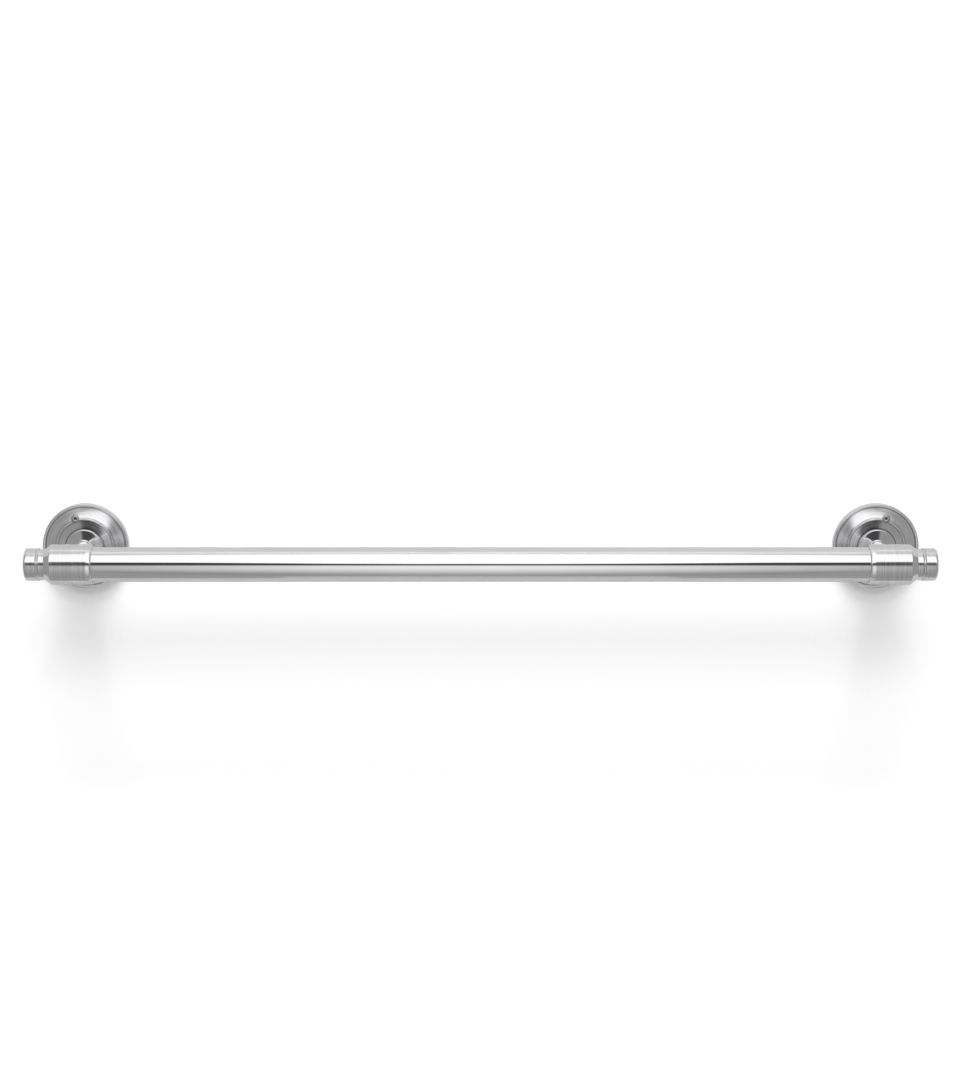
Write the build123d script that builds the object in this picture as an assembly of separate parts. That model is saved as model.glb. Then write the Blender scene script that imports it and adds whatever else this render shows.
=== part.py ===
from build123d import *
import math
import os

# A towel rail for a wall: a tube between two turned posts, each on a bell-shaped rosette.
# Millimetres, +Z up. The wall is the plane Y = 0 and the rail stands in front of it, towards -Y.
# The origin lies on the wall, midway between the posts and level with their axes.

# Layout
POST_SPACING = 600.0  # between the axes of the two posts
PROJECTION = 75.0  # from the wall to the axis of the rail

# Rail tube
TUBE_DIAMETER = 25.4
TUBE_WALL = 1.2
TUBE_END_CHAMFER = 0.3
TUBE_END_GAP = 0.5  # between the end of the tube and the floor of the collar's bore

# Collar, a barrel on the rail's axis
COLLAR_LENGTH = 34.6
COLLAR_WALL = 2.05  # round the tube
TUBE_CLEARANCE = 0.1  # radial, in the collar's bore
BORE_DEPTH = 12.0  # how far the collar takes the tube
MOUTH_CHAMFER = 0.5  # leads the tube into the bore
INNER_BEVEL_LENGTH = 3.4  # the bevel towards the middle of the rail
INNER_BEVEL_DROP = 0.35
MOUTH_EDGE_RADIUS = 0.9  # round the outside of the mouth
OUTER_BEVEL_LENGTH = 4.5  # the bevel towards the finial
FINIAL_LEDGE = 0.15  # of the collar's end face round the finial
COLLAR_EDGE_RADIUS = 0.5

# Finial, the turned cap on the collar's end
FINIAL_NECK_RADIUS = 11.4
FINIAL_NECK_LENGTH = 4.2
FINIAL_BEAD_HEIGHT = 0.6  # above the neck
FINIAL_BEAD_LENGTH = 1.6
FINIAL_GROOVE_WIDTH = 0.35  # on each side of the bead
FINIAL_GROOVE_DEPTH = 0.1  # below the neck
FINIAL_DRUM_RADIUS = 11.9
FINIAL_DRUM_LENGTH = 8.8
FINIAL_END_RADIUS = 1.6  # round the end of the drum
FINIAL_DOME = 0.6  # of the end face
SPIGOT_RADIUS = 5.0
SPIGOT_LENGTH = 8.0

# Rosette, a bell with a rim, a hollow sweep, a bead, a shallow dish and a hub for the post
ROSETTE_RADIUS = 32.5
RIM_HEIGHT = 6.0
RIM_WIDTH = 2.2
RIM_EDGE_RADIUS = 0.7
RIM_STEP = 0.9  # from the rim down to the start of the sweep
SWEEP_START_ANGLE = 15.5  # from the wall plane
SWEEP_RISE = 2.6
BEAD_MIDDLE_RADIUS = 21.2
BEAD_WIDTH = 1.5
DISH_START_ANGLE = 10.5  # from the wall plane
DISH_RISE = 1.5
HUB_RADIUS = 13.6
HUB_RISE = 1.1  # from the dish to the foot of the post
SEAT_WEB = 2.3  # under the heads of the rosette's screws
HUB_WEB = 4.0  # between the hollow and the foot of the post
HOLLOW_RADIUS = 11.0

# Post
FLANGE_RADIUS = 14.0
FLANGE_THICKNESS = 1.8
FOOT_ANGLE = 12.0  # of the foot's cone, from the wall plane
POST_RADIUS = 5.6
FLARE_RADIUS = 1.2
SADDLE_CLEARANCE = 0.02  # between the post's hollowed end and the collar

# Wall plate
PLATE_RADIUS = 26.0
PLATE_THICKNESS = 2.5
PLATE_CLEARANCE = 0.3  # radial, in the back of the rosette
PLATE_EDGE_CHAMFER = 0.5
WALL_HOLE_SPACING = 24.0  # between the two holes of one plate, one above the other
WALL_HOLE_RADIUS = 2.25
WALL_HOLE_SINK_RADIUS = 4.3  # of the countersink at the plate's front

# Low-headed cap screws that hold the rosette on its wall plate
ROSETTE_SCREW_CIRCLE = 22.8  # radius of the circle that they lie on
ROSETTE_SCREW_ANGLE = 18.0  # of the upper one, from straight up towards the end of the rail
ROSETTE_SCREW_RADIUS = 1.5
ROSETTE_SCREW_HEAD_RADIUS = 2.75
ROSETTE_SCREW_HEAD_HEIGHT = 1.8
ROSETTE_SCREW_HEAD_EDGE = 1.0  # radius round the top of the head
ROSETTE_SCREW_SOCKET = 2.0  # across the flats
ROSETTE_SCREW_HOLE_CLEARANCE = 0.2
ROSETTE_SCREW_POCKET_CLEARANCE = 0.3  # round the head
ROSETTE_SCREW_TIP_GAP = 0.3  # from the tip to the wall

# Screw from inside the rosette into the foot of the post
POST_SCREW_RADIUS = 3.0
POST_SCREW_LENGTH = 16.0
POST_SCREW_HEAD_RADIUS = 5.0
POST_SCREW_HEAD_HEIGHT = 3.0
POST_SCREW_HEAD_EDGE = 0.5  # radius round the top of the head
POST_SCREW_SOCKET = 4.0
POST_SCREW_HOLE_CLEARANCE = 0.2

# Stud between the post and the collar
STUD_RADIUS = 3.0
STUD_LENGTH = 22.0

# Grub screw that locks the tube in the collar, from below
GRUB_RADIUS = 2.0
GRUB_LENGTH = 4.0
GRUB_SOCKET = 2.0
GRUB_RECESS = 0.2  # below the collar's surface
GRUB_TUBE_HOLE_CLEARANCE = 0.2

# Common to all screws
THREAD_CLEARANCE = 0.05  # radial, where a thread is drawn as a plain cylinder
TAPPED_HOLE_GAP = 1.0  # from the end of a screw to the bottom of its blind hole
SOCKET_DEPTH_SHARE = 0.6  # of a head's height

# Worked out from the above
TUBE_RADIUS = TUBE_DIAMETER / 2
BORE_RADIUS = TUBE_RADIUS + TUBE_CLEARANCE
COLLAR_RADIUS = BORE_RADIUS + COLLAR_WALL
COLLAR_INNER_END = -COLLAR_LENGTH / 2
COLLAR_OUTER_END = COLLAR_LENGTH / 2
COLLAR_END_RADIUS = FINIAL_NECK_RADIUS + FINIAL_LEDGE
BORE_FLOOR = COLLAR_INNER_END + BORE_DEPTH
TUBE_HALF_LENGTH = POST_SPACING / 2 + BORE_FLOOR - TUBE_END_GAP
GRUB_PLACE = COLLAR_INNER_END + BORE_DEPTH / 2
SWEEP_START = RIM_HEIGHT - RIM_STEP
BEAD_FOOT = SWEEP_START + SWEEP_RISE
HUB_FOOT = BEAD_FOOT + DISH_RISE
HUB_FACE = HUB_FOOT + HUB_RISE
HOLLOW_TOP = HUB_FACE - HUB_WEB
POCKET_FLOOR = PLATE_THICKNESS + SEAT_WEB
SADDLE_DEPTH = PROJECTION - COLLAR_RADIUS - SADDLE_CLEARANCE
STUD_START = SADDLE_DEPTH - STUD_LENGTH / 2
STUD_END = STUD_START + STUD_LENGTH

# Local frames of the right-hand end. On the post, local Z leaves the wall and local Y is up.
# On the rail, local Z points along the rail, away from its middle, and local X is up.
POST_PLACE = Plane((POST_SPACING / 2, 0, 0), x_dir=(1, 0, 0), z_dir=(0, -1, 0)).location
RAIL_PLACE = Plane((POST_SPACING / 2, -PROJECTION, 0), x_dir=(0, 0, 1), z_dir=(1, 0, 0)).location


def turned(section):
    """A body of revolution about local Z, from a section drawn as (radius, height)."""
    return revolve(Plane.XZ * section, Axis.Z)


def rod(radius, start, end):
    """A plain cylinder on local Z between two heights."""
    return Pos(0, 0, start) * Cylinder(radius, end - start, align=(Align.CENTER, Align.CENTER, Align.MIN))


def rounded(section, radius, *corners):
    """The section with the corners nearest to the given points rounded."""
    for corner in corners:
        section = fillet(section.vertices().sort_by_distance(corner)[0], radius)
    return section


def hex_socket(width, depth, top):
    """The six-sided recess of a screw, cut down from a height on local Z."""
    outline = RegularPolygon(width / 2, 6, major_radius=False)
    return Pos(0, 0, top - depth) * extrude(outline, depth)


def cap_screw(radius, length, head_radius, head_height, head_edge, socket):
    """A cap screw with its head on height 0 of local Z and its shank below."""
    head = rod(head_radius, 0, head_height)
    head = fillet(head.edges().sort_by(Axis.Z)[-1], head_edge)
    screw = rod(radius, -length, 0) + head
    return screw - hex_socket(socket, head_height * SOCKET_DEPTH_SHARE, head_height)


def make_tube():
    """The rail tube, cross-drilled from below at both ends for the grub screws."""
    place = Plane((0, -PROJECTION, 0), x_dir=(0, 0, 1), z_dir=(1, 0, 0)).location
    outside = rod(TUBE_RADIUS, -TUBE_HALF_LENGTH, TUBE_HALF_LENGTH)
    outside = chamfer(outside.edges(), TUBE_END_CHAMFER)
    inside = rod(TUBE_RADIUS - TUBE_WALL, -TUBE_HALF_LENGTH - 1, TUBE_HALF_LENGTH + 1)
    tube = place * (outside - inside)
    drill = RAIL_PLACE * grub_direction() * rod(GRUB_RADIUS + GRUB_TUBE_HOLE_CLEARANCE, 0, COLLAR_RADIUS)
    return tube - drill - mirror(drill, Plane.YZ)


def grub_direction():
    """From the rail's frame to a local Z that points straight down at the grub screw's place."""
    return Pos(0, 0, GRUB_PLACE) * Rot(0, -90, 0)


def make_collar():
    """The barrel: a blind bore for the tube, a tapped end for the finial, holes for stud and grub."""
    spigot_hole_floor = COLLAR_OUTER_END - SPIGOT_LENGTH - TAPPED_HOLE_GAP
    inner_shoulder = (COLLAR_RADIUS, COLLAR_INNER_END + INNER_BEVEL_LENGTH)
    outer_shoulder = (COLLAR_RADIUS, COLLAR_OUTER_END - OUTER_BEVEL_LENGTH)
    mouth_edge = (COLLAR_RADIUS - INNER_BEVEL_DROP, COLLAR_INNER_END)
    section = make_face(
        Polyline(
            (0, BORE_FLOOR),
            (BORE_RADIUS, BORE_FLOOR),
            (BORE_RADIUS, COLLAR_INNER_END + MOUTH_CHAMFER),
            (BORE_RADIUS + MOUTH_CHAMFER, COLLAR_INNER_END),
            mouth_edge,
            inner_shoulder,
            outer_shoulder,
            (COLLAR_END_RADIUS, COLLAR_OUTER_END),
            (SPIGOT_RADIUS + THREAD_CLEARANCE, COLLAR_OUTER_END),
            (SPIGOT_RADIUS + THREAD_CLEARANCE, spigot_hole_floor),
            (0, spigot_hole_floor),
            close=True,
        )
    )
    section = rounded(section, MOUTH_EDGE_RADIUS, mouth_edge)
    section = rounded(section, COLLAR_EDGE_RADIUS, inner_shoulder, outer_shoulder)
    stud_hole = POST_PLACE * rod(STUD_RADIUS + THREAD_CLEARANCE, STUD_START, STUD_END + TAPPED_HOLE_GAP)
    grub_hole = RAIL_PLACE * grub_direction() * rod(GRUB_RADIUS + THREAD_CLEARANCE, 0, COLLAR_RADIUS + 1)
    return RAIL_PLACE * turned(section) - stud_hole - grub_hole


def make_finial():
    """The turned cap: a spigot in the collar, a neck, a bead between two grooves and a drum."""
    bead_start = FINIAL_NECK_LENGTH
    bead_end = bead_start + FINIAL_BEAD_LENGTH
    drum_end = bead_end + FINIAL_DRUM_LENGTH
    groove_radius = FINIAL_NECK_RADIUS - FINIAL_GROOVE_DEPTH
    bead_top = (FINIAL_NECK_RADIUS + FINIAL_BEAD_HEIGHT, (bead_start + bead_end) / 2)
    bead_left = (groove_radius, bead_start)
    bead_right = (groove_radius, bead_end)
    drum_corner = (FINIAL_DRUM_RADIUS, drum_end)
    to_bead = Polyline(
        (0, -SPIGOT_LENGTH),
        (SPIGOT_RADIUS, -SPIGOT_LENGTH),
        (SPIGOT_RADIUS, 0),
        (FINIAL_NECK_RADIUS, 0),
        (FINIAL_NECK_RADIUS, bead_start - FINIAL_GROOVE_WIDTH),
        bead_left,
    )
    bead = ThreePointArc(bead_left, bead_top, bead_right)
    to_end = Polyline(bead_right, (FINIAL_DRUM_RADIUS, bead_end + FINIAL_GROOVE_WIDTH), drum_corner)
    end = TangentArc((0, drum_end + FINIAL_DOME), drum_corner, tangent=(1, 0))
    axis = Line((0, drum_end + FINIAL_DOME), (0, -SPIGOT_LENGTH))
    section = rounded(make_face([to_bead, bead, to_end, end, axis]), FINIAL_END_RADIUS, drum_corner)
    return RAIL_PLACE * Pos(0, 0, COLLAR_OUTER_END) * turned(section)


def rosette_screw_places():
    """Where the two screws of one rosette stand, on the plane of the wall."""
    upper = Rot(0, 0, -ROSETTE_SCREW_ANGLE) * Pos(0, ROSETTE_SCREW_CIRCLE, 0)
    lower = Rot(0, 0, 180 - ROSETTE_SCREW_ANGLE) * Pos(0, ROSETTE_SCREW_CIRCLE, 0)
    return [upper, lower]


def inward(angle):
    """The heading towards the axis that leans away from the wall by an angle."""
    return (-math.cos(math.radians(angle)), math.sin(math.radians(angle)))


def make_rosette():
    """The bell: rim, sweep, bead, dish and hub outside, a seat for the wall plate and a hollow behind."""
    rim_outer = (ROSETTE_RADIUS, RIM_HEIGHT)
    rim_inner = (ROSETTE_RADIUS - RIM_WIDTH, RIM_HEIGHT)
    sweep_start = (ROSETTE_RADIUS - RIM_WIDTH, SWEEP_START)
    bead_outer = (BEAD_MIDDLE_RADIUS + BEAD_WIDTH / 2, BEAD_FOOT)
    bead_top = (BEAD_MIDDLE_RADIUS, BEAD_FOOT + BEAD_WIDTH / 2)
    bead_inner = (BEAD_MIDDLE_RADIUS - BEAD_WIDTH / 2, BEAD_FOOT)
    hub_foot = (HUB_RADIUS, HUB_FOOT)
    seat_radius = PLATE_RADIUS + PLATE_CLEARANCE
    outside = [
        Polyline((ROSETTE_RADIUS, 0), rim_outer, rim_inner, sweep_start),
        TangentArc(sweep_start, bead_outer, tangent=inward(SWEEP_START_ANGLE)),
        ThreePointArc(bead_outer, bead_top, bead_inner),
        TangentArc(bead_inner, hub_foot, tangent=inward(DISH_START_ANGLE)),
    ]
    inside = Polyline(
        hub_foot,
        (HUB_RADIUS, HUB_FACE),
        (0, HUB_FACE),
        (0, HOLLOW_TOP),
        (HOLLOW_RADIUS, HOLLOW_TOP),
        (HOLLOW_RADIUS, PLATE_THICKNESS),
        (seat_radius, PLATE_THICKNESS),
        (seat_radius, 0),
        (ROSETTE_RADIUS, 0),
    )
    rim_edge_radius = min(RIM_EDGE_RADIUS, 0.9 * RIM_STEP, 0.45 * RIM_WIDTH)
    bell = turned(rounded(make_face([*outside, inside]), rim_edge_radius, rim_outer, rim_inner))
    bell -= rod(POST_SCREW_RADIUS + POST_SCREW_HOLE_CLEARANCE, HOLLOW_TOP - 1, HUB_FACE + 1)
    pocket = rod(ROSETTE_SCREW_HEAD_RADIUS + ROSETTE_SCREW_POCKET_CLEARANCE, POCKET_FLOOR, HUB_FACE)
    hole = rod(ROSETTE_SCREW_RADIUS + ROSETTE_SCREW_HOLE_CLEARANCE, 0, POCKET_FLOOR + 1)
    for place in rosette_screw_places():
        bell -= place * (pocket + hole)
    return POST_PLACE * bell


def make_post():
    """The post: a round-edged flange, a low cone, a flare, and an end hollowed to sit on the collar."""
    flange_face = HUB_FACE + FLANGE_THICKNESS
    edge = FLANGE_THICKNESS / 2
    cone_rise = (FLANGE_RADIUS - edge - POST_RADIUS) * math.tan(math.radians(FOOT_ANGLE))
    neck = (POST_RADIUS, flange_face + cone_rise)
    flange_back = (FLANGE_RADIUS - edge, HUB_FACE)
    flange_front = (FLANGE_RADIUS - edge, flange_face)
    section = make_face(
        [
            Line((0, HUB_FACE), flange_back),
            ThreePointArc(flange_back, (FLANGE_RADIUS, HUB_FACE + edge), flange_front),
            Polyline(flange_front, neck, (POST_RADIUS, PROJECTION), (0, PROJECTION), (0, HUB_FACE)),
        ]
    )
    post = turned(rounded(section, FLARE_RADIUS, neck))
    screw_end = HOLLOW_TOP + POST_SCREW_LENGTH
    post -= rod(POST_SCREW_RADIUS + THREAD_CLEARANCE, HUB_FACE - 1, screw_end + TAPPED_HOLE_GAP)
    post -= rod(STUD_RADIUS + THREAD_CLEARANCE, STUD_START - TAPPED_HOLE_GAP, PROJECTION)
    saddle = rod(COLLAR_RADIUS + SADDLE_CLEARANCE, COLLAR_INNER_END, COLLAR_OUTER_END)
    return POST_PLACE * post - RAIL_PLACE * saddle


def make_wall_plate():
    """The disc behind the rosette: two countersunk holes to the wall, two tapped for the rosette."""
    plate = rod(PLATE_RADIUS, 0, PLATE_THICKNESS)
    plate = chamfer(plate.faces().sort_by(Axis.Z)[-1].edges(), PLATE_EDGE_CHAMFER)
    sink_depth = WALL_HOLE_SINK_RADIUS - WALL_HOLE_RADIUS
    sink = Pos(0, 0, PLATE_THICKNESS - sink_depth / 2) * Cone(WALL_HOLE_RADIUS, WALL_HOLE_SINK_RADIUS, sink_depth)
    wall_hole = rod(WALL_HOLE_RADIUS, -1, PLATE_THICKNESS) + sink
    for height in (-WALL_HOLE_SPACING / 2, WALL_HOLE_SPACING / 2):
        plate -= Pos(0, height, 0) * wall_hole
    tapped = rod(ROSETTE_SCREW_RADIUS + THREAD_CLEARANCE, -1, PLATE_THICKNESS + 1)
    for place in rosette_screw_places():
        plate -= place * tapped
    return POST_PLACE * plate


def make_rosette_screws():
    """The two cap screws of one rosette, standing in their pockets."""
    length = POCKET_FLOOR - ROSETTE_SCREW_TIP_GAP
    screw = cap_screw(
        ROSETTE_SCREW_RADIUS,
        length,
        ROSETTE_SCREW_HEAD_RADIUS,
        ROSETTE_SCREW_HEAD_HEIGHT,
        ROSETTE_SCREW_HEAD_EDGE,
        ROSETTE_SCREW_SOCKET,
    )
    return [POST_PLACE * place * Pos(0, 0, POCKET_FLOOR) * screw for place in rosette_screw_places()]


def make_post_screw():
    """The low-headed screw inside the rosette's hollow, its shank in the foot of the post."""
    screw = cap_screw(
        POST_SCREW_RADIUS,
        POST_SCREW_LENGTH,
        POST_SCREW_HEAD_RADIUS,
        POST_SCREW_HEAD_HEIGHT,
        POST_SCREW_HEAD_EDGE,
        POST_SCREW_SOCKET,
    )
    return POST_PLACE * Pos(0, 0, HOLLOW_TOP) * Rot(180, 0, 0) * screw


def make_stud():
    """The plain stud between post and collar."""
    return POST_PLACE * rod(STUD_RADIUS, STUD_START, STUD_END)


def make_grub_screw():
    """The grub screw under the collar, through its wall and into the tube's cross hole."""
    outer_end = COLLAR_RADIUS - GRUB_RECESS
    screw = rod(GRUB_RADIUS, outer_end - GRUB_LENGTH, outer_end)
    screw -= hex_socket(GRUB_SOCKET, GRUB_LENGTH * SOCKET_DEPTH_SHARE, outer_end)
    return RAIL_PLACE * grub_direction() * screw


def write(name, *solids):
    """Write one node, a single solid or a group of equal ones."""
    node = solids[0] if len(solids) == 1 else Compound(children=list(solids))
    node.label = name
    export_step(node, os.path.join("parts", f"{name}.step"))


def write_pair(name, solid):
    """Write a right-hand piece and its mirror image as two nodes."""
    write(f"{name}_right", solid)
    write(f"{name}_left", mirror(solid, Plane.YZ))


def write_group(name, solids):
    """Write equal small pieces of both ends as one node."""
    write(name, *solids, *[mirror(solid, Plane.YZ) for solid in solids])


os.makedirs("parts", exist_ok=True)
write("rail_tube", make_tube())
write_pair("collar", make_collar())
write_pair("finial", make_finial())
write_pair("post", make_post())
write_pair("rosette", make_rosette())
write_pair("wall_plate", make_wall_plate())
write_group("rosette_screws", make_rosette_screws())
write_group("post_screws", [make_post_screw()])
write_group("collar_studs", [make_stud()])
write_group("rail_grub_screws", [make_grub_screw()])
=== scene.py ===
import math

import bmesh
import bpy
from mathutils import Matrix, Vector


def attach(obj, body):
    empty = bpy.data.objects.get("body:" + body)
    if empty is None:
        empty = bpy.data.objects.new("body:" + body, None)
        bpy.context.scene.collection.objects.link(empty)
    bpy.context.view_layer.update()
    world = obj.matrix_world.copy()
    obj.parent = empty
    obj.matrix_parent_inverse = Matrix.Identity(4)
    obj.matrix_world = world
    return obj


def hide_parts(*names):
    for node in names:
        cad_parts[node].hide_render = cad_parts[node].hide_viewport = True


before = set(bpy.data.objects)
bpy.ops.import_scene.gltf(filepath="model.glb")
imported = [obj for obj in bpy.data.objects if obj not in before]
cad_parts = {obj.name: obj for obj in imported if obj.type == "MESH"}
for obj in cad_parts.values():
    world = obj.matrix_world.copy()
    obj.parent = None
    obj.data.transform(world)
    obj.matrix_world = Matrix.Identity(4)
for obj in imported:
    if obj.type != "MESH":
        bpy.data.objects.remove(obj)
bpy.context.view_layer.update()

# A towel rail on a white wall: a polished tube between two turned ends.
# The wall is the plane y = 0, the rail stands towards -y, and the ends are mirror images in x.
# Sizes of pieces are in millimetres until a point is set down in Blender, which works in metres.

MM = 0.001
POST_AT = 300.0  # from the middle of the rail to the axis of a post
PROJECTION = 75.0  # from the wall to the axis of the rail
HUB_TOP = 10.3  # from the wall to the face that a post stands on

TUBE_RADIUS = 12.7
TUBE_BORE = 11.5
TUBE_HALF = 294.2
TUBE_HIDDEN_FROM = 283.4  # from here to its end the tube is inside a collar

COLLAR_RADIUS = 14.85
COLLAR_HALF = 17.3
COLLAR_BORE = 12.8
BORE_FLOOR = -5.3  # along the rail, from the axis of the post

BOLT_HOLE = 3.05  # radius of the holes for studs and post screws
GRUB_AT = POST_AT - 11.3  # from the middle of the rail to a grub screw
GRUB_HOLE = 2.05
GRUB_HOLE_IN_TUBE = 2.2

SCREW_CIRCLE = 22.8  # from the axis of a post to its cap screws
SCREW_ANGLE = 18.0  # how far they stand from straight above and below, in degrees
POCKET_FLOOR = 4.8  # from the wall to the seat of a cap screw's head

# Painted shade inside the sockets: a near-black finish on the faces round a socket's axis.
SOCKET_CORNER = 1.155  # radius of a six-sided socket, over its corners
SHADE_RADIUS = 1.17  # faces nearer to a socket's axis get painted shade
CAP_SOCKET_FLOOR = 5.52  # from the wall
CAP_SHADE_FROM, CAP_SHADE_LENGTH = 5.5, 0.9  # where the painted shade starts, and how far it goes
GRUB_SOCKET_FLOOR = 12.25  # down from the axis of the rail
GRUB_SHADE_FROM, GRUB_SHADE_LENGTH = 12.2, 2.3

TURNS, CAP_TURNS, GRUB_TURNS = 192, 96, 72  # faces round a turned piece
SIX_SIDED = 6
CLEAR = 1  # how far a drill starts or ends outside a piece
SAME_SPOT = 1e-6  # metres
WELD = 1e-7  # metres
SMOOTH_BELOW = 32  # degrees: sharper edges stay sharp


# Modelling by hand: draw an outline beside an axis, soften its corners, spin it, drill it.

def put_all_down():
    """Object mode with nothing selected."""
    if bpy.context.object and bpy.context.object.mode != "OBJECT":
        bpy.ops.object.mode_set(mode="OBJECT")
    bpy.ops.object.select_all(action="DESELECT")


def pick_up(piece):
    """Object mode with one piece selected and active."""
    put_all_down()
    piece.select_set(True)
    bpy.context.view_layer.objects.active = piece


def select_where(piece, test):
    """In edit mode, select the corners whose place passes a test."""
    bpy.ops.mesh.select_mode(type="VERT")
    bpy.ops.mesh.select_all(action="DESELECT")
    mesh = bmesh.from_edit_mesh(piece.data)
    for corner in mesh.verts:
        corner.select_set(test(corner.co))
    mesh.select_flush_mode()
    bmesh.update_edit_mesh(piece.data)


class Turning:
    """An outline drawn beside an axis as (along, out) in millimetres, and spun round it."""

    def __init__(self, name, centre, along, out):
        self.centre, self.along, self.out = Vector(centre) * MM, Vector(along), Vector(out)
        self.name, self.at = name, None

    def place(self, point):
        return self.centre + (self.along * point[0] + self.out * point[1]) * MM

    def start(self, point):
        put_all_down()
        bpy.ops.mesh.primitive_plane_add(size=MM, location=self.place(point))
        self.piece = bpy.context.object
        self.piece.name = self.piece.data.name = self.name
        bpy.ops.object.transform_apply(location=True, rotation=False, scale=False)
        bpy.ops.object.mode_set(mode="EDIT")
        bpy.ops.mesh.select_mode(type="VERT")
        bpy.ops.mesh.select_all(action="SELECT")
        bpy.ops.mesh.merge(type="CENTER")
        self.at = point
        return self

    def line(self, *points):
        for point in points:
            step = self.place(point) - self.place(self.at)
            bpy.ops.mesh.extrude_vertices_move(TRANSFORM_OT_translate={"value": step})
            self.at = point
        return self

    def arc(self, point, middle, steps):
        """A round run to a point about a middle, the short way."""
        start = math.atan2(self.at[1] - middle[1], self.at[0] - middle[0])
        end = math.atan2(point[1] - middle[1], point[0] - middle[0])
        swing = math.remainder(end - start, 2 * math.pi)
        axis = self.along.cross(self.out)
        bpy.ops.mesh.spin(steps=steps, angle=-swing, center=self.place(middle), axis=axis)
        self.at = point
        return self

    def sweep(self, point, heading, steps):
        """A round run to a point that leaves in a given heading."""
        gap = (point[0] - self.at[0], point[1] - self.at[1])
        side = (-heading[1], heading[0])
        reach = (gap[0] ** 2 + gap[1] ** 2) / (2 * (gap[0] * side[0] + gap[1] * side[1]))
        middle = (self.at[0] + side[0] * reach, self.at[1] + side[1] * reach)
        return self.arc(point, middle, steps)

    def soften(self, radius, *corners, steps=4):
        """Round off corners of the outline; the radius is measured along the lines."""
        for corner in corners:
            spot = self.place(corner)
            select_where(self.piece, lambda at: (at - spot).length < SAME_SPOT)
            bpy.ops.mesh.bevel(offset=radius * MM, segments=steps, affect="VERTICES", profile=0.5)
        return self

    def turn(self, steps=TURNS):
        bpy.ops.mesh.select_all(action="SELECT")
        bpy.ops.mesh.remove_doubles(threshold=WELD)
        bpy.ops.mesh.spin(steps=steps, angle=2 * math.pi, center=self.centre, axis=self.along)
        bpy.ops.mesh.select_all(action="SELECT")
        bpy.ops.mesh.remove_doubles(threshold=WELD)
        bpy.ops.mesh.normals_make_consistent(inside=False)
        bpy.ops.object.mode_set(mode="OBJECT")
        return self.piece


def partway(start, end, share):
    """A point on the line between two: near a corner, it keeps the shading of the run straight."""
    return start[0] + (end[0] - start[0]) * share, start[1] + (end[1] - start[1]) * share


def on_rail(name, x=POST_AT):
    """Turned on the rail's axis, by default from the right-hand post outwards."""
    return Turning(name, (x, -PROJECTION, 0), (1, 0, 0), (0, 0, 1))


def on_post(name, x=POST_AT, z=0.0):
    """Turned on an axis that leaves the wall, such as the right-hand post's."""
    return Turning(name, (x, 0, z), (0, -1, 0), (0, 0, 1))


def cut(piece, tool):
    """Take the tool's shape out of a piece and throw the tool away."""
    pick_up(piece)
    bpy.ops.object.modifier_add(type="BOOLEAN")
    saw = piece.modifiers[-1]
    saw.operation, saw.solver, saw.object = "DIFFERENCE", "EXACT", tool
    bpy.ops.object.modifier_apply(modifier=saw.name)
    bpy.data.meshes.remove(tool.data)


def drill(piece, start, heading, length, radius, sides=64):
    """A straight hole from a point, in millimetres."""
    put_all_down()
    heading = Vector(heading)
    middle = (Vector(start) + heading * length / 2) * MM
    lean = Vector((0, 0, 1)).rotation_difference(heading).to_euler()
    bpy.ops.mesh.primitive_cylinder_add(
        vertices=sides, radius=radius * MM, depth=length * MM, location=middle, rotation=lean
    )
    tool = bpy.context.object
    bpy.ops.object.transform_apply(location=True, rotation=True, scale=True)
    cut(piece, tool)


def copy_to_left(piece, name):
    """The mirror image of a right-hand piece, with its own mesh."""
    pick_up(piece)
    bpy.ops.object.duplicate(linked=False)
    twin = bpy.context.object
    twin.name = twin.data.name = name
    bpy.ops.object.mode_set(mode="EDIT")
    bpy.ops.mesh.select_all(action="SELECT")
    bpy.ops.transform.resize(value=(-1, 1, 1), center_override=(0, 0, 0))
    bpy.ops.mesh.normals_make_consistent(inside=False)
    bpy.ops.object.mode_set(mode="OBJECT")
    return twin


# The tube and the pieces of the right-hand end.

OUT_OF_WALL, DOWN = (0, -1, 0), (0, 0, -1)


def turn_tube():
    """The rail tube, drilled from below near both ends, where the collars hide it."""
    tube = on_rail("tube", 0)
    chamfer = 0.3
    tube.start((-TUBE_HALF, TUBE_BORE)).line(
        (-TUBE_HALF, TUBE_RADIUS - chamfer),
        (-TUBE_HALF + chamfer, TUBE_RADIUS),
        (-TUBE_HIDDEN_FROM, TUBE_RADIUS),
        (TUBE_HIDDEN_FROM, TUBE_RADIUS),
        (TUBE_HALF - chamfer, TUBE_RADIUS),
        (TUBE_HALF, TUBE_RADIUS - chamfer),
        (TUBE_HALF, TUBE_BORE),
        (TUBE_HIDDEN_FROM, TUBE_BORE),
        (-TUBE_HIDDEN_FROM, TUBE_BORE),
        (-TUBE_HALF, TUBE_BORE),
    )
    piece = tube.turn()
    for x in (-GRUB_AT, GRUB_AT):
        drill(piece, (x, -PROJECTION, 0), DOWN, COLLAR_RADIUS, GRUB_HOLE_IN_TUBE)
    return piece


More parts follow.
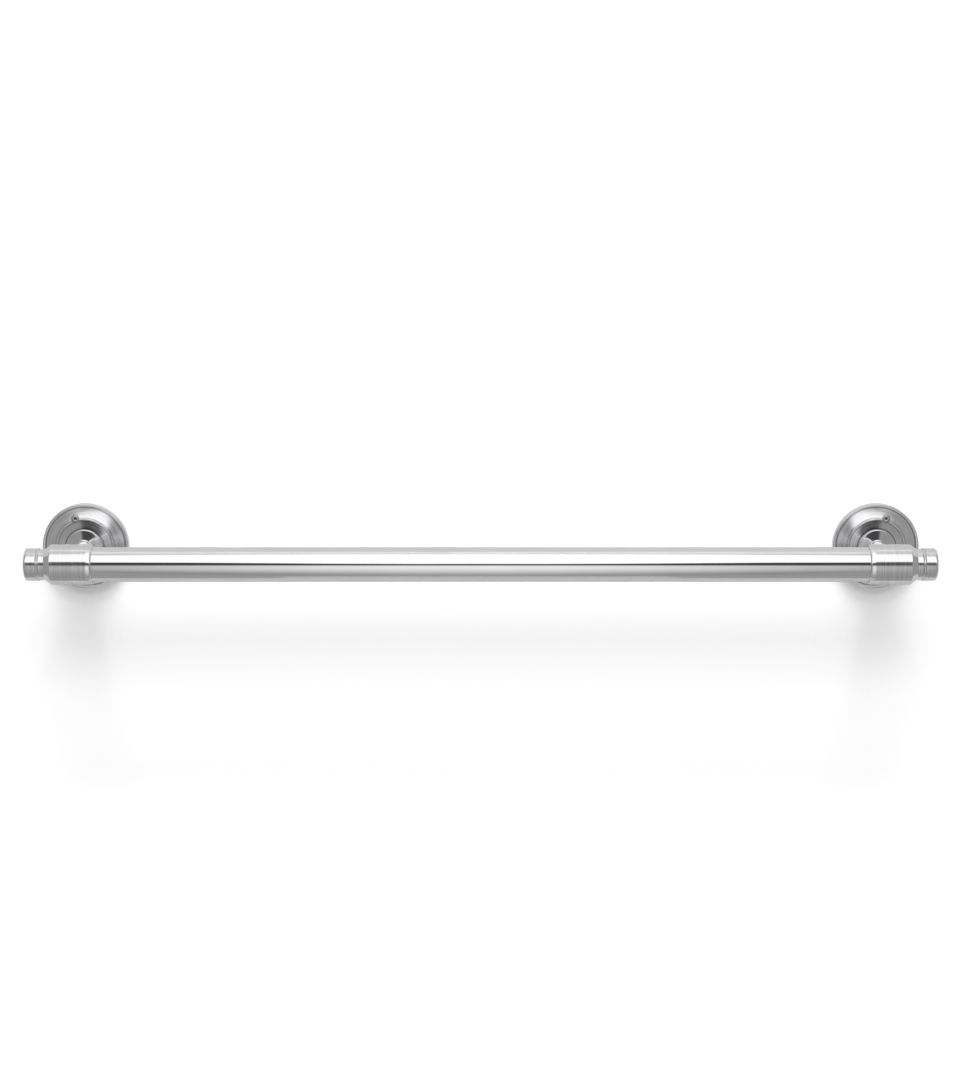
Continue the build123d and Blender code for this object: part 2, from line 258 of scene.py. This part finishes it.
def turn_collar():
    """The barrel: bore, mouth, long bevels with soft shoulders, holes for stud and grub screw."""
    collar = on_rail("right_collar")
    mouth_chamfer = 0.5
    inner_bevel, inner_drop, outer_bevel, end_radius = 3.4, 0.35, 4.5, 11.55
    spigot_hole, spigot_floor = 5.05, 8.3
    beside_holes = (-8.4, -4.0, 4.0)  # rings that keep the drilled faces short
    stud_hole_from, stud_hole_length = 49.0, 23.1  # from the wall
    inner_shoulder = (-COLLAR_HALF + inner_bevel, COLLAR_RADIUS)
    outer_shoulder = (COLLAR_HALF - outer_bevel, COLLAR_RADIUS)
    lip = (-COLLAR_HALF, COLLAR_RADIUS - inner_drop)
    end_edge = (COLLAR_HALF, end_radius)
    collar.start((BORE_FLOOR, 0)).line(
        (BORE_FLOOR, COLLAR_BORE),
        (-COLLAR_HALF + mouth_chamfer, COLLAR_BORE),
        (-COLLAR_HALF, COLLAR_BORE + mouth_chamfer),
        lip,
        partway(lip, inner_shoulder, 0.4),
        partway(lip, inner_shoulder, 0.9),
        inner_shoulder,
        partway(inner_shoulder, outer_shoulder, 0.02),
        *((along, COLLAR_RADIUS) for along in beside_holes),
        partway(inner_shoulder, outer_shoulder, 0.975),
        outer_shoulder,
        partway(outer_shoulder, end_edge, 0.12),
        partway(outer_shoulder, end_edge, 0.9),
        end_edge,
        (COLLAR_HALF, spigot_hole),
        (spigot_floor, spigot_hole),
        (spigot_floor, 0),
    )
    collar.soften(0.81, lip, steps=8).soften(0.12, end_edge, steps=2)
    collar.soften(0.15, inner_shoulder, steps=3).soften(0.3, outer_shoulder)
    piece = collar.turn()
    drill(piece, (POST_AT, -stud_hole_from, 0), OUT_OF_WALL, stud_hole_length, BOLT_HOLE)
    drill(piece, (GRUB_AT, -PROJECTION, 0), DOWN, COLLAR_RADIUS + CLEAR, GRUB_HOLE)
    return piece


def turn_finial():
    """The cap: spigot, neck, a bead between two grooves, and a drum with a domed end."""
    finial = on_rail("right_finial")
    root = COLLAR_HALF
    spigot, neck, groove, bead, drum = 5.0, 11.4, 11.3, 12.0, 11.9  # radii
    spigot_end, bead_at, end = root - 8, root + 5, root + 15.2
    bead_half, groove_half, dome = 0.8, 1.15, 118.308
    neck_ring, drum_ring, end_ring = root + 3.6, root + 6.5, root + 12.5  # keep the runs straight
    groove_edge, drum_edge = (bead_at - groove_half, neck), (bead_at + groove_half, drum)
    drum_corner = (root + 14.6, drum)
    bead_middle, dome_middle = (bead_at, 11.1929), (end - dome, 0)
    finial.start((spigot_end, 0)).line(
        (spigot_end, spigot),
        (root, spigot),
        (root, neck),
        (neck_ring, neck),
        groove_edge,
        (bead_at - bead_half, groove),
    )
    finial.arc((bead_at, bead), bead_middle, 8)
    finial.arc((bead_at + bead_half, groove), bead_middle, 8)
    finial.line(drum_edge, (drum_ring, drum), (end_ring, drum), drum_corner)
    finial.arc((end, 0), dome_middle, 6)
    finial.soften(0.08, groove_edge, drum_edge, steps=3).soften(1.6, drum_corner, steps=8)
    return finial.turn()


def turn_post():
    """The post: round-edged flange, low cone, flare, shaft coped to the collar, two holes."""
    post = on_post("right_post")
    flange, flange_round, shaft = 13.1, 0.9, 5.6  # radii
    flange_middle = (HUB_TOP + flange_round, flange)
    cone_foot, neck = (HUB_TOP + 2 * flange_round, flange), (13.694, shaft)
    flare_end, cope_from, shaft_end = 15.5, 56, 68
    screw_hole_floor, stud_hole_floor = 23.3, 48.13
    cope_half, cope_gap, cope_sides = 20, 0.02, 256
    post.start((screw_hole_floor, 0)).line(
        (screw_hole_floor, BOLT_HOLE), (HUB_TOP, BOLT_HOLE), (HUB_TOP, flange)
    )
    post.arc((HUB_TOP + flange_round, flange + flange_round), flange_middle, 8)
    post.arc(cone_foot, flange_middle, 8)
    post.line(partway(cone_foot, neck, 0.05), partway(cone_foot, neck, 0.8), neck)
    post.line((flare_end, shaft), (cope_from, shaft), (shaft_end, shaft))
    post.line((shaft_end, BOLT_HOLE), (stud_hole_floor, BOLT_HOLE), (stud_hole_floor, 0))
    post.soften(0.972, neck, steps=12)
    piece = post.turn()
    drill(
        piece,
        (POST_AT - cope_half, -PROJECTION, 0),
        (1, 0, 0),
        2 * cope_half,
        COLLAR_RADIUS + cope_gap,
        cope_sides,
    )
    return piece


def screw_spots():
    """Where the two cap screws of the right-hand rosette stand, as x and z."""
    lean = math.radians(SCREW_ANGLE)
    side, up = SCREW_CIRCLE * math.sin(lean), SCREW_CIRCLE * math.cos(lean)
    return [(POST_AT + side, up), (POST_AT - side, -up)]


def inward(angle):
    """The heading towards the axis that leans away from the wall by some degrees."""
    return math.sin(math.radians(angle)), -math.cos(math.radians(angle))


def turn_rosette():
    """The bell: rim, sweep, bead, dish and hub, hollow behind, with a pocket for each cap screw."""
    rosette = on_post("right_rosette")
    rim, rim_inside, bead, bead_round, hub = 32.5, 30.3, 21.2, 0.75, 13.6  # radii in front
    hollow, recess, screw_hole = 26.3, 11.0, 3.2  # radii behind
    rim_top, rim_foot, bead_foot, dish_end = 6.0, 5.1, 7.7, 9.2
    hollow_floor, recess_floor = 2.5, 6.3
    rim_rings = (0.5, 4.9)  # keep the rim's side straight
    sweep_lean, dish_lean = 15.5, 10.5  # degrees
    rim_outer, rim_inner = (rim_top, rim), (rim_top, rim_inside)
    back_outer, back_inner = (0, rim), (0, hollow)
    hub_edge, bead_middle = (HUB_TOP, hub), (bead_foot, bead)
    rosette.start((recess_floor, screw_hole)).line(
        (recess_floor, recess),
        (hollow_floor, recess),
        (hollow_floor, hollow),
        back_inner,
        back_outer,
    )
    rosette.line(*((along, rim) for along in rim_rings))
    rosette.line(rim_outer, rim_inner, (rim_foot, rim_inside))
    rosette.sweep((bead_foot, bead + bead_round), inward(sweep_lean), 26)
    rosette.arc((bead_foot + bead_round, bead), bead_middle, 8)
    rosette.arc((bead_foot, bead - bead_round), bead_middle, 8)
    rosette.sweep((dish_end, hub), inward(dish_lean), 14)
    rosette.line(hub_edge, (HUB_TOP, screw_hole), (recess_floor, screw_hole))
    rosette.soften(0.7, rim_outer, rim_inner, steps=6).soften(0.2, back_outer, back_inner, steps=3)
    rosette.soften(0.2, hub_edge, steps=3)
    piece = rosette.turn()
    pocket, pocket_length, shank_hole, shank_length = 3.05, 12, 1.7, 8
    for x, z in screw_spots():
        drill(piece, (x, -POCKET_FLOOR, z), OUT_OF_WALL, pocket_length, pocket, 72)
        drill(piece, (x, CLEAR, z), OUT_OF_WALL, shank_length, shank_hole, 48)
    return piece


def turn_cap_screw(name, x, z):
    """A cap screw in its pocket: a rounded head with a six-sided socket, and a shank."""
    screw = on_post(name, x, z)
    tip, shank, chamfer = 0.3, 1.5, 0.3
    top, head = 6.6, 2.75
    well_rim, well_edge, well_middle = (top, 1.4), (6.4, 1.2), (6.3, 0)  # round the socket
    rim, brim = (top, head), (POCKET_FLOOR, head)
    socket_cut = 3  # long enough to leave the head
    screw.start((tip, 0)).line(
        (tip, shank - chamfer),
        (tip + chamfer, shank),
        (POCKET_FLOOR, shank),
        brim,
        rim,
        well_rim,
        well_edge,
        well_middle,
    )
    screw.soften(1.0, rim, steps=8).soften(0.1, brim, steps=2)
    piece = screw.turn(CAP_TURNS)
    floor = (x, -CAP_SOCKET_FLOOR, z)
    drill(piece, floor, OUT_OF_WALL, socket_cut, SOCKET_CORNER, SIX_SIDED)
    return piece


def turn_grub_screw():
    """The grub screw under the collar, with chamfered ends and a six-sided socket."""
    screw = Turning("right_grub_screw", (GRUB_AT, -PROJECTION, 0), DOWN, (1, 0, 0))
    point, end, radius = 10.65, 14.65, 2.0
    point_chamfer, end_chamfer, end_radius = 0.6, 0.35, 1.7
    socket_cut = 4  # long enough to leave the end
    screw.start((point, 0)).line(
        (point, radius - point_chamfer),
        (point + point_chamfer, radius),
        (end - end_chamfer, radius),
        (end, end_radius),
        (end, 0),
    )
    piece = screw.turn(GRUB_TURNS)
    floor = (GRUB_AT, -PROJECTION, -GRUB_SOCKET_FLOOR)
    drill(piece, floor, DOWN, socket_cut, SOCKET_CORNER, SIX_SIDED)
    return piece


# Finishes, drawn with nodes.

GRAIN_LOW, GRAIN_HIGH = 0.3, 0.7  # most of a grain lies between these


class Nodes:
    """The nodes of a material or of the world, added one by one and joined."""

    def __init__(self, owner):
        owner.use_nodes = True
        self.nodes, self.links = owner.node_tree.nodes, owner.node_tree.links

    def add(self, kind, **settings):
        node = self.nodes.new(kind)
        for key, value in settings.items():
            if key in node.inputs:
                node.inputs[key].default_value = value
            else:
                setattr(node, key, value)
        return node

    def join(self, source, node, socket):
        self.links.new(source, node.inputs[socket])

    def maths(self, operation, *values):
        node = self.add("ShaderNodeMath", operation=operation)
        for number, value in enumerate(values):
            if isinstance(value, (int, float)):
                node.inputs[number].default_value = value
            else:
                self.join(value, node, number)
        return node.outputs[0]

    def blend(self, share, first, second):
        """The first by its share and the second by the rest."""
        rest = self.maths("SUBTRACT", 1, share)
        return self.maths(
            "ADD", self.maths("MULTIPLY", first, share), self.maths("MULTIPLY", second, rest)
        )

    def between(self, value, low, high, start=GRAIN_LOW, end=GRAIN_HIGH, run="LINEAR"):
        """From low to high as a value goes from start to end."""
        spread = self.add("ShaderNodeMapRange", interpolation_type=run)
        ends = {"From Min": start, "From Max": end, "To Min": low, "To Max": high}
        for socket, number in ends.items():
            spread.inputs[socket].default_value = number
        self.join(value, spread, "Value")
        return spread.outputs["Result"]

    def greys(self, value, stops):
        """Grey levels as a value goes from 0 to 1, given as (value, level) from end to end."""
        ramp = self.add("ShaderNodeValToRGB")
        elements = ramp.color_ramp.elements
        for at, grey in stops:
            ends = {0: elements[0], 1: elements[-1]}
            stop = ends.get(at) or elements.new(at)
            stop.color = (grey, grey, grey, 1)
        self.join(value, ramp, "Fac")
        return ramp.outputs["Color"]

    def place(self, kind="Object"):
        return self.add("ShaderNodeTexCoord").outputs[kind]

    def split(self, place):
        """The x, y and z of a place."""
        parts = self.add("ShaderNodeSeparateXYZ")
        self.join(place, parts, "Vector")
        return [parts.outputs[axis] for axis in "XYZ"]

    def cover(self, share, below, above):
        """Make the surface from one shader, covered by a share of another."""
        layers = self.add("ShaderNodeMixShader")
        self.join(share, layers, "Fac")
        self.join(below, layers, 1)
        self.join(above, layers, 2)
        self.join(layers.outputs["Shader"], self.nodes["Material Output"], "Surface")


class Finish(Nodes):
    """A metal finish."""

    def __init__(self, name, colour):
        self.material = bpy.data.materials.new(name)
        super().__init__(self.material)
        self.metal = self.nodes["Principled BSDF"]
        self.metal.inputs["Metallic"].default_value = 1.0
        self.metal.inputs["Base Color"].default_value = (*colour, 1)
        self.spot = self.place()

    def stretched(self, scale):
        """The place drawn out along some directions, so that a pattern becomes lines."""
        mapping = self.add("ShaderNodeMapping", Scale=scale)
        self.join(self.spot, mapping, "Vector")
        return mapping.outputs["Vector"]

    def grain(self, place, scale, detail, roughness=0.6):
        noise = self.add("ShaderNodeTexNoise", Scale=scale, Detail=detail, Roughness=roughness)
        self.join(place, noise, "Vector")
        return noise.outputs["Fac"]

    def tint(self, value, dark, light, painted_shade=None):
        """Colour from dark to light by a value, and darkened by painted shade given as another one.
        """
        ramp = self.add("ShaderNodeValToRGB")
        ends = ((dark, GRAIN_LOW), (light, GRAIN_HIGH))
        for stop, (shade, at) in zip(ramp.color_ramp.elements, ends):
            stop.color, stop.position = (*shade, 1), at
        self.join(value, ramp, "Fac")
        colour = ramp.outputs["Color"]
        if painted_shade is not None:
            scaled = self.add("ShaderNodeVectorMath", operation="SCALE")
            self.join(colour, scaled, "Vector")
            self.join(painted_shade, scaled, "Scale")
            colour = scaled.outputs["Vector"]
        self.join(colour, self.metal, "Base Color")

    def sheen_from(self, value, low, high):
        self.join(self.between(value, low, high), self.metal, "Roughness")

    def relief(self, height, depth):
        """Scratches and lines, as deep as given in metres."""
        bump = self.add("ShaderNodeBump", Strength=1.0, Distance=depth)
        self.join(height, bump, "Height")
        self.join(bump.outputs["Normal"], self.metal, "Normal")


def polished_steel():
    """Tube and posts: close to a mirror, with faint lines along the rail."""
    finish = Finish("polished steel", (0.74, 0.74, 0.75))
    drawn = finish.grain(finish.stretched((3, 700, 700)), 1.0, 3)
    hazy = finish.grain(finish.spot, 22.0, 3, 0.5)
    finish.tint(hazy, (0.72, 0.72, 0.73), (0.76, 0.76, 0.77))
    finish.sheen_from(finish.blend(0.5, drawn, hazy), 0.05, 0.1)
    finish.relief(drawn, 0.0000015)
    return finish.material


def turned_steel():
    """Collars and finials: fine lathe lines round the rail's axis."""
    finish = Finish("turned steel", (0.7, 0.7, 0.71))
    fine = finish.grain(finish.stretched((2600, 14, 14)), 1.0, 2)
    coarse = finish.grain(finish.stretched((1100, 9, 9)), 1.0, 2)
    lines = finish.blend(0.4, fine, coarse)
    finish.tint(lines, (0.61, 0.61, 0.62), (0.8, 0.8, 0.81))
    finish.sheen_from(lines, 0.08, 0.18)
    finish.relief(lines, 0.00002)
    return finish.material


# Painted shade in the corners of a rosette, as dark lines: radius, half width, depth of tone.
PAINTED_CORNER_SHADE = ((30.0, 0.7, 0.42), (22.3, 0.5, 0.36), (20.2, 0.5, 0.22), (14.5, 0.9, 0.7))


def satin_steel():
    """Rosettes: satin rings round the post's axis, and painted shade as darker lines in the
    corners.
    """
    finish = Finish("satin steel", (0.72, 0.72, 0.73))
    x, _, up = finish.split(finish.spot)
    across = finish.maths("SUBTRACT", finish.maths("ABSOLUTE", x), POST_AT * MM)
    squares = [finish.maths("MULTIPLY", way, way) for way in (across, up)]
    radius = finish.maths("SQRT", finish.maths("ADD", *squares))

    def ringed(length):
        """The place as (radius, ...), so that a grain is drawn out round the axis."""
        place = finish.add("ShaderNodeCombineXYZ")
        finish.join(radius, place, "X")
        finish.join(finish.maths("DIVIDE", across, length), place, "Y")
        finish.join(finish.maths("DIVIDE", up, length), place, "Z")
        return place.outputs["Vector"]

    fine = finish.grain(ringed(80.0), 3200.0, 2)
    coarse = finish.grain(ringed(80.0), 1100.0, 2)
    wisps = finish.grain(ringed(9.0), 620.0, 3)
    rings = finish.blend(0.5, fine, coarse)
    streaks = finish.blend(0.45, rings, wisps)
    # painted shade: the corners of the rosette are darkened
    painted_shade = 1.0
    for corner, width, depth in PAINTED_CORNER_SHADE:
        off = finish.maths("ABSOLUTE", finish.maths("SUBTRACT", radius, corner * MM))
        tone = finish.between(off, 1 - depth, 1.0, 0.0, width * MM)
        painted_shade = finish.maths("MULTIPLY", tone, painted_shade)
    finish.tint(streaks, (0.58, 0.58, 0.59), (0.82, 0.82, 0.83), painted_shade)
    finish.sheen_from(streaks, 0.08, 0.2)
    finish.relief(rings, 0.000008)
    return finish.material


def painted_socket_shade():
    """Inside a screw's socket: painted shade as near-black steel, dull and a little dusty."""
    finish = Finish("painted socket shade", (0.2, 0.2, 0.2))
    dust_in_shade = finish.grain(finish.spot, 2200.0, 3)
    finish.tint(dust_in_shade, (0.14, 0.14, 0.14), (0.3, 0.3, 0.3))
    finish.sheen_from(dust_in_shade, 0.45, 0.65)
    finish.relief(dust_in_shade, 0.00001)
    return finish.material


def screw_steel():
    """Screws: satin steel with a light speckle."""
    finish = Finish("screw steel", (0.7, 0.7, 0.71))
    speckle = finish.grain(finish.spot, 1400.0, 3)
    finish.tint(speckle, (0.62, 0.62, 0.63), (0.78, 0.78, 0.79))
    finish.sheen_from(speckle, 0.16, 0.26)
    finish.relief(speckle, 0.000008)
    return finish.material


def zinc_steel():
    """Wall plates: rolled sheet with a dull zinc coat."""
    finish = Finish("zinc steel", (0.58, 0.59, 0.6))
    cloudy = finish.grain(finish.spot, 260.0, 4)
    rolled = finish.grain(finish.stretched((60, 60, 1500)), 1.0, 3)
    finish.tint(cloudy, (0.5, 0.51, 0.52), (0.66, 0.67, 0.68))
    finish.sheen_from(cloudy, 0.3, 0.45)
    finish.relief(rolled, 0.00001)
    return finish.material


def paint_socket_shade(piece, start, out, length):
    """Give the faces of a socket the painted shade, from a point on its axis over a length."""
    pick_up(piece)
    piece.data.materials.append(socket_shade)
    piece.active_material_index = 1
    bpy.ops.object.mode_set(mode="EDIT")
    bpy.ops.mesh.select_mode(type="FACE")
    bpy.ops.mesh.select_all(action="DESELECT")
    mesh = bmesh.from_edit_mesh(piece.data)
    along, centre = Vector(out), Vector(start) * MM
    for face in mesh.faces:
        away = face.calc_center_median() - centre
        side = (away - along * away.dot(along)).length
        face.select_set(side < SHADE_RADIUS * MM and 0 <= away.dot(along) <= length * MM)
    bmesh.update_edit_mesh(piece.data)
    bpy.ops.object.material_slot_assign()
    bpy.ops.object.mode_set(mode="OBJECT")


def dress(piece, material, slot, *nodes):
    """Give a piece its finish and set it on the frame in place of CAD nodes."""
    pick_up(piece)
    bpy.ops.object.shade_smooth_by_angle(angle=math.radians(SMOOTH_BELOW))
    piece.data.materials.clear()
    piece.data.materials.append(material)
    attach(piece, "root")
    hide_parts(*nodes)


polished, turned, satin = polished_steel(), turned_steel(), satin_steel()
# the last is painted shade for the inside of sockets
screwed, zinc, socket_shade = screw_steel(), zinc_steel(), painted_socket_shade()

dress(turn_tube(), polished, "polished_steel", "rail_tube")
for make, name, material, slot in (
    (turn_collar, "collar", turned, "turned_steel"),
    (turn_finial, "finial", turned, "turned_steel"),
    (turn_post, "post", polished, "polished_steel"),
    (turn_rosette, "rosette", satin, "satin_steel"),
):
    right = make()
    left = copy_to_left(right, "left_" + name)
    dress(right, material, slot, name + "_right")
    dress(left, material, slot, name + "_left")

for (x, z), level in zip(screw_spots(), ("upper", "lower")):
    right = turn_cap_screw("right_cap_screw_" + level, x, z)
    left = copy_to_left(right, "left_cap_screw_" + level)
    for screw, side in ((right, x), (left, -x)):
        dress(screw, screwed, "screw_steel", "rosette_screws")
        # painted shade inside the cap screw's socket
        paint_socket_shade(screw, (side, -CAP_SHADE_FROM, z), OUT_OF_WALL, CAP_SHADE_LENGTH)

right = turn_grub_screw()
left = copy_to_left(right, "left_grub_screw")
for screw, side in ((right, GRUB_AT), (left, -GRUB_AT)):
    dress(screw, screwed, "screw_steel", "rail_grub_screws")
    # painted shade inside the grub screw's socket
    paint_socket_shade(screw, (side, -PROJECTION, -GRUB_SHADE_FROM), DOWN, GRUB_SHADE_LENGTH)

for node, material in (
    ("wall_plate_left", zinc),
    ("wall_plate_right", zinc),
    ("post_screws", screwed),
    ("collar_studs", screwed),
):
    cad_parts[node].data.materials[0] = material


# The stage, in metres: wall and floor, both plain white, and the light.

UPRIGHT = (math.pi / 2, 0, 0)
WALL_WIDTH, WALL_HEIGHT = 1.4, 2.4
WALL_BACK = 0.0004  # just behind the rosettes
OPENING_RADIUS = 0.0315
FLOOR_SIZE, FLOOR_DROP = 0.7, 2.4
WALL_TONE = 0.8
WALL_TONE_MIRRORED = 0.63  # greyer in the metal
GLOW_AT_RAIL, GLOW_BELOW = 0.24, 0.73  # makes up for the lamps, so that the wall is evenly white
GLOW_DEPTH = 0.45  # how far below the rail the glow is full
GLOW_MIRRORED = 0.4  # share of the glow that the metal mirrors


def stage_white(name):
    """Matt white that keeps the shadows, glows for the camera and the metal, and has no back."""
    material = bpy.data.materials.new(name)
    stage = Nodes(material)
    paint = stage.nodes["Principled BSDF"]
    paint.inputs["Roughness"].default_value = 1.0
    paint.inputs["Specular IOR Level"].default_value = 0.0
    paint.inputs["Emission Color"].default_value = (1, 1, 1, 1)
    ray = stage.add("ShaderNodeLightPath").outputs
    mirrored = stage.maths("MAXIMUM", ray["Is Glossy Ray"], ray["Is Transmission Ray"])
    tone = stage.maths("MULTIPLY_ADD", mirrored, WALL_TONE_MIRRORED - WALL_TONE, WALL_TONE)
    stage.join(tone, paint, "Base Color")
    _, _, height = stage.split(stage.place())
    even = stage.between(height, GLOW_AT_RAIL, GLOW_BELOW, 0, -GLOW_DEPTH)
    seen = stage.maths("MULTIPLY_ADD", mirrored, GLOW_MIRRORED, ray["Is Camera Ray"])
    stage.join(stage.maths("MULTIPLY", seen, even), paint, "Emission Strength")
    back = stage.add("ShaderNodeNewGeometry").outputs["Backfacing"]
    clear = stage.add("ShaderNodeBsdfTransparent").outputs["BSDF"]
    stage.cover(back, paint.outputs["BSDF"], clear)
    return material


def build_wall(white):
    """A wall with a round opening behind each rosette, so that the backs can be seen."""
    put_all_down()
    bpy.ops.mesh.primitive_plane_add(size=1, location=(0, WALL_BACK, 0), rotation=UPRIGHT)
    wall = bpy.context.object
    wall.name = "wall"
    wall.scale = (WALL_WIDTH, WALL_HEIGHT, 1)
    bpy.ops.object.transform_apply(location=True, rotation=True, scale=True)
    bpy.ops.object.mode_set(mode="EDIT")
    bpy.ops.mesh.delete(type="ONLY_FACE")
    for x in (-POST_AT, POST_AT):
        bpy.ops.mesh.primitive_circle_add(
            vertices=96, radius=OPENING_RADIUS, location=(x * MM, WALL_BACK, 0), rotation=UPRIGHT
        )
    bpy.ops.mesh.select_all(action="SELECT")
    bpy.ops.mesh.fill(use_beauty=True)
    bpy.ops.mesh.normals_make_consistent(inside=False)
    bpy.ops.object.mode_set(mode="OBJECT")
    if wall.data.polygons[0].normal.y > 0:
        bpy.ops.object.mode_set(mode="EDIT")
        bpy.ops.mesh.flip_normals()
        bpy.ops.object.mode_set(mode="OBJECT")
    wall.data.materials.append(white)


def build_floor(white):
    """A small floor, far below the rail."""
    put_all_down()
    bpy.ops.mesh.primitive_plane_add(
        size=FLOOR_SIZE, location=(0, -FLOOR_SIZE / 2, -FLOOR_DROP)
    )
    floor = bpy.context.object
    floor.name = "floor"
    floor.data.materials.append(white)


# Soft lamps that light the wall and throw the shadows: place, width, height and watts.
SOFTBOXES = {
    "front softbox": ((0, -1.95, 2.11), 2.4, 1.15, 46),
    "top softbox": ((0, -0.78, 2.65), 1.4, 1.15, 128),
}


def hang_softboxes():
    """Lamps in front and above, turned to the middle; neither camera nor metal sees them."""
    for name, (place, width, height, watts) in SOFTBOXES.items():
        lamp = bpy.data.lights.new(name, "AREA")
        lamp.shape, lamp.size, lamp.size_y, lamp.energy = "RECTANGLE", width, height, watts
        softbox = bpy.data.objects.new(name, lamp)
        softbox.location = place
        softbox.rotation_euler = (-softbox.location).to_track_quat("-Z", "Y").to_euler()
        softbox.visible_glossy = softbox.visible_camera = False
        bpy.context.scene.collection.objects.link(softbox)


# A white card in front, which only the metal mirrors. Its lower edge is an arch, given as the
# distance from the middle and the height, and the edge is soft.
CARD_AWAY, CARD_HALF, CARD_BOTTOM, CARD_TOP, CARD_LEVEL = 1.0, 1.05, 0.1, 0.75, 1.45
CARD_EDGE = (
    (0, 0.272), (0.07, 0.26), (0.163, 0.29), (0.326, 0.41), (0.476, 0.46), (0.66, 0.485),
    (CARD_HALF, 0.5),
)
CARD_SOFT = 0.06


def hang_card():
    """The white card, drawn as a plain sheet whose lower edge fades out along an arch."""
    put_all_down()
    height = CARD_TOP - CARD_BOTTOM
    bpy.ops.mesh.primitive_plane_add(
        size=1, location=(0, -CARD_AWAY, CARD_TOP - height / 2), rotation=UPRIGHT
    )
    card = bpy.context.object
    card.name = "card"
    card.scale = (2 * CARD_HALF, height, 1)
    bpy.ops.object.transform_apply(location=True, rotation=True, scale=True)
    material = bpy.data.materials.new("card white")
    sheet = Nodes(material)
    sheet.nodes.remove(sheet.nodes["Principled BSDF"])
    x, _, z = sheet.split(sheet.place())
    share = sheet.maths("DIVIDE", sheet.maths("ABSOLUTE", x), CARD_HALF)
    arch = sheet.greys(share, [(distance / CARD_HALF, edge) for distance, edge in CARD_EDGE])
    above = sheet.maths("SUBTRACT", z, arch)
    fade = sheet.between(above, 0, 1, -CARD_SOFT, CARD_SOFT, "SMOOTHSTEP")
    clear = sheet.add("ShaderNodeBsdfTransparent").outputs["BSDF"]
    shine = sheet.add("ShaderNodeEmission", Strength=CARD_LEVEL).outputs["Emission"]
    sheet.cover(fade, clear, shine)
    card.data.materials.append(material)
    card.visible_camera = card.visible_diffuse = False
    card.visible_shadow = card.visible_transmission = False


# The room that the metal mirrors, as (height in degrees, level): straight in front, where it is
# dark below a bright window; beside that; and further round. A pool of light lies low in front.
FRONT = (
    (-90, 0.45), (-75, 0.38), (-58, 0.27), (-43, 0.15), (-15, 0.12), (5, 0.08), (24, 0.06),
    (29, 1.45), (78, 1.45), (87, 1.0), (90, 1.0),
)
BESIDE = (
    (-90, 0.45), (-60, 0.36), (-20, 0.35), (5, 0.35), (20, 0.4), (24, 0.52),
    (29, 1.45), (78, 1.45), (87, 0.85), (90, 0.85),
)
ROUND = (
    (-90, 0.45), (-60, 0.36), (-20, 0.4), (20, 0.4), (50, 0.42), (62, 0.52), (80, 0.85), (90, 0.9),
)
POOL = (
    (-90, 0), (-75, 0.05), (-58, 0.19), (-43, 0.52), (-28, 0.78), (-15, 0.97), (-2, 1.0),
    (4.5, 0.8), (7, 0), (90, 0),
)
FRONT_EDGE = (11, 16)  # degrees to either side, where the dark front fades out
WINDOW_EDGE = (27, 35)
POOL_WIDTH = 8.0
BRIGHTEST = 2  # the level that white in a ramp stands for
FILL = 0.2  # level for everything but the metal and the camera


def light_the_room():
    """A soft room for the metal to mirror, a plain fill for the rest, white for the camera."""
    world = bpy.data.worlds.new("room")
    bpy.context.scene.world = world
    room = Nodes(world)
    x, y, z = room.split(room.place("Generated"))
    share = room.maths("ADD", room.maths("DIVIDE", room.maths("ARCSINE", z), math.pi), 0.5)
    side = room.maths("ARCTAN2", x, room.maths("MULTIPLY", y, -1))

    def by_height(levels):
        stops = [((height + 90) / 180, level / BRIGHTEST) for height, level in levels]
        return room.maths("MULTIPLY", room.greys(share, stops), BRIGHTEST)

    def within(edge):
        """1 in front, fading to 0 from one side angle to the other."""
        start, end = map(math.radians, edge)
        return room.between(room.maths("ABSOLUTE", side), 1, 0, start, end, "SMOOTHSTEP")

    off = room.maths("DIVIDE", side, math.radians(POOL_WIDTH))
    bell = room.maths("MULTIPLY", room.maths("MULTIPLY", off, off), -0.5)
    pool = room.maths("MULTIPLY", by_height(POOL), room.maths("EXPONENT", bell))
    near = room.blend(within(FRONT_EDGE), by_height(FRONT), by_height(BESIDE))
    around = room.blend(within(WINDOW_EDGE), near, by_height(ROUND))
    ray = room.add("ShaderNodeLightPath").outputs
    level = room.blend(ray["Is Glossy Ray"], room.maths("ADD", around, pool), FILL)
    level = room.blend(ray["Is Camera Ray"], 1.0, level)
    background = room.nodes["Background"]
    background.inputs["Color"].default_value = (1, 1, 1, 1)
    room.join(level, background, "Strength")


CAMERA_AWAY, CAMERA_RISE = 1.740, 10.95  # metres from the wall's middle, degrees above it
CAMERA_ASIDE, AIM_UP = -0.0005, 0.0008
SENSOR, LENS = 36, 85.65  # millimetres


def set_up_camera():
    """In front and a little above, with a long lens, as the photograph was taken."""
    lens = bpy.data.cameras.new("camera")
    lens.sensor_fit, lens.sensor_width, lens.lens = "HORIZONTAL", SENSOR, LENS
    camera = bpy.data.objects.new("camera", lens)
    bpy.context.scene.collection.objects.link(camera)
    rise = math.radians(CAMERA_RISE)
    camera.location = (CAMERA_ASIDE, -CAMERA_AWAY * math.cos(rise), CAMERA_AWAY * math.sin(rise))
    aim = Vector((CAMERA_ASIDE, 0, AIM_UP))
    camera.rotation_euler = (aim - camera.location).to_track_quat("-Z", "Y").to_euler()
    bpy.context.scene.camera = camera


white = stage_white("stage white")
build_wall(white)
build_floor(white)
hang_softboxes()
hang_card()
light_the_room()
set_up_camera()
bpy.context.scene.view_settings.view_transform = "Standard"

bpy.context.view_layer.update()
